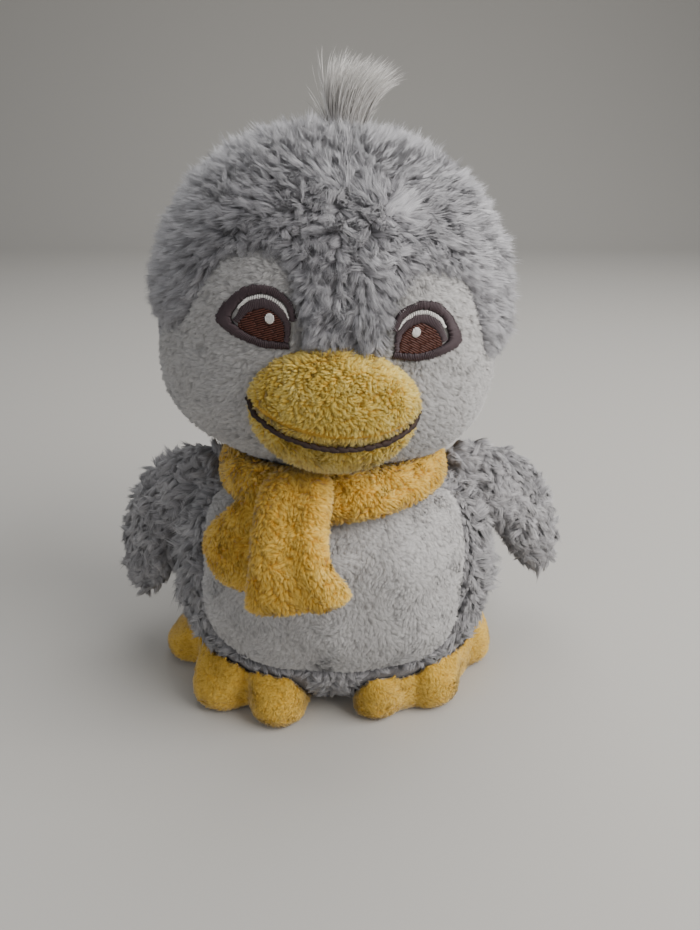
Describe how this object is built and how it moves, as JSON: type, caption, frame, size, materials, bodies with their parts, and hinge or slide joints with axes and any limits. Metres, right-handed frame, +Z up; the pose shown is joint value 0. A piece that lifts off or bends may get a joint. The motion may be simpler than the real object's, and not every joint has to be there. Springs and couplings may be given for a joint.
{
  "type": "plush penguin",
  "caption": "Soft stuffed penguin sitting upright, with a big round head, embroidered eyes, padded beak, floppy wings, toed feet and a knotted scarf.",
  "frame": {"origin": "centre of the flat underside, where the toy rests", "axes": "+Z up; the face and belly look towards -Y; +X is the toy's own left wing side, the viewer's right from the front"},
  "size_m": [0.1918, 0.1214, 0.2312],
  "materials": {
    "back_left": "long-pile plush",
    "back_right": "long-pile plush",
    "belly_panel": "short-pile plush",
    "base_panel": "long-pile plush",
    "body_filling": "loose polyester stuffing",
    "pellet_bag": "woven bag of pellets",
    "scarf_band": "short-pile plush",
    "scarf_knot": "short-pile plush",
    "neck_thread": "sewing thread",
    "neck_filling": "loose polyester stuffing",
    "crown_left": "long-pile plush",
    "crown_right": "long-pile plush",
    "face_left": "short-pile plush",
    "face_right": "short-pile plush",
    "head_filling": "loose polyester stuffing",
    "upper_beak": "short-pile plush",
    "lower_beak": "short-pile plush",
    "beak_filling": "loose polyester stuffing",
    "mouth_stitching": "thick stitched thread",
    "hair_tuft": "loose long pile hair",
    "eye_left_outline": "satin embroidery thread",
    "eye_left_white": "embroidery thread",
    "eye_left_iris": "embroidery thread",
    "eye_left_catchlight": "embroidery thread",
    "eye_right_outline": "satin embroidery thread",
    "eye_right_white": "embroidery thread",
    "eye_right_iris": "embroidery thread",
    "eye_right_catchlight": "embroidery thread",
    "wing_left_outer": "long-pile plush",
    "wing_left_inner": "long-pile plush",
    "wing_left_filling": "loose polyester stuffing",
    "wing_right_outer": "long-pile plush",
    "wing_right_inner": "long-pile plush",
    "wing_right_filling": "loose polyester stuffing",
    "foot_left_upper": "velour",
    "foot_left_sole": "velour",
    "foot_left_filling": "loose polyester stuffing",
    "foot_right_upper": "velour",
    "foot_right_sole": "velour",
    "foot_right_filling": "loose polyester stuffing",
    "scarf_front_tail": "short-pile plush",
    "scarf_rear_tail": "short-pile plush"
  },
  "bodies": {
    "torso": {"back_left": "back_left", "back_right": "back_right", "belly_panel": "belly_panel", "base_panel": "base_panel", "body_filling": "body_filling", "pellet_bag": "pellet_bag", "scarf_band": "scarf_band", "scarf_knot": "scarf_knot"},
    "neck_turn": {"neck_thread": "neck_thread"},
    "neck_tilt": {"neck_filling": "neck_filling"},
    "head": {"crown_left": "crown_left", "crown_right": "crown_right", "face_left": "face_left", "face_right": "face_right", "head_filling": "head_filling", "upper_beak": "upper_beak", "lower_beak": "lower_beak", "beak_filling": "beak_filling", "mouth_stitching": "mouth_stitching", "hair_tuft": "hair_tuft", "eye_left_outline": "eye_left_outline", "eye_left_white": "eye_left_white", "eye_left_iris": "eye_left_iris", "eye_left_catchlight": "eye_left_catchlight", "eye_right_outline": "eye_right_outline", "eye_right_white": "eye_right_white", "eye_right_iris": "eye_right_iris", "eye_right_catchlight": "eye_right_catchlight"},
    "wing_left": {"wing_left_outer": "wing_left_outer", "wing_left_inner": "wing_left_inner", "wing_left_filling": "wing_left_filling"},
    "wing_right": {"wing_right_outer": "wing_right_outer", "wing_right_inner": "wing_right_inner", "wing_right_filling": "wing_right_filling"},
    "foot_left": {"foot_left_upper": "foot_left_upper", "foot_left_sole": "foot_left_sole", "foot_left_filling": "foot_left_filling"},
    "foot_right": {"foot_right_upper": "foot_right_upper", "foot_right_sole": "foot_right_sole", "foot_right_filling": "foot_right_filling"},
    "front_tail": {"scarf_front_tail": "scarf_front_tail"},
    "rear_tail": {"scarf_rear_tail": "scarf_rear_tail"}
  },
  "joints": [
    {"name": "head_turn", "type": "hinge", "parent": "torso", "child": "neck_turn", "pos_m": [0, 0, 0.118], "axis": [0, 0, 1], "range_deg": [-30, 30], "stiffness_Nm_per_rad": 0.5},
    {"name": "head_tilt", "type": "hinge", "parent": "neck_turn", "child": "neck_tilt", "pos_m": [0, 0, 0.118], "axis": [0, 1, 0], "range_deg": [-6, 2], "stiffness_Nm_per_rad": 0.5},
    {"name": "head_nod", "type": "hinge", "parent": "neck_tilt", "child": "head", "pos_m": [0, 0, 0.118], "axis": [1, 0, 0], "range_deg": [-4, 4], "stiffness_Nm_per_rad": 0.5},
    {"name": "wing_left_lift", "type": "hinge", "parent": "torso", "child": "wing_left", "pos_m": [-0.048, 0, 0.088], "axis": [0, 1, 0], "range_deg": [0, 60], "stiffness_Nm_per_rad": 0.05},
    {"name": "wing_right_lift", "type": "hinge", "parent": "torso", "child": "wing_right", "pos_m": [0.048, 0, 0.088], "axis": [0, -1, 0], "range_deg": [0, 50], "stiffness_Nm_per_rad": 0.05},
    {"name": "foot_left_flex", "type": "hinge", "parent": "torso", "child": "foot_left", "pos_m": [-0.042, -0.034, 0.013], "axis": [-0.6429, 0.7659, 0], "range_deg": [0, 20], "stiffness_Nm_per_rad": 0.05},
    {"name": "foot_right_flex", "type": "hinge", "parent": "torso", "child": "foot_right", "pos_m": [0.042, -0.034, 0.013], "axis": [-0.6429, -0.7659, 0], "range_deg": [0, 20], "stiffness_Nm_per_rad": 0.05},
    {"name": "scarf_front_tail_lift", "type": "hinge", "parent": "torso", "child": "front_tail", "pos_m": [-0.0112, -0.0529, 0.09], "axis": [-1, 0, 0], "range_deg": [0, 60], "stiffness_Nm_per_rad": 0.02},
    {"name": "scarf_rear_tail_swing", "type": "hinge", "parent": "torso", "child": "rear_tail", "pos_m": [-0.028, -0.0415, 0.08], "axis": [-0.3974, -0.7408, 0.5416], "range_deg": [0, 20], "stiffness_Nm_per_rad": 0.02}
  ]
}
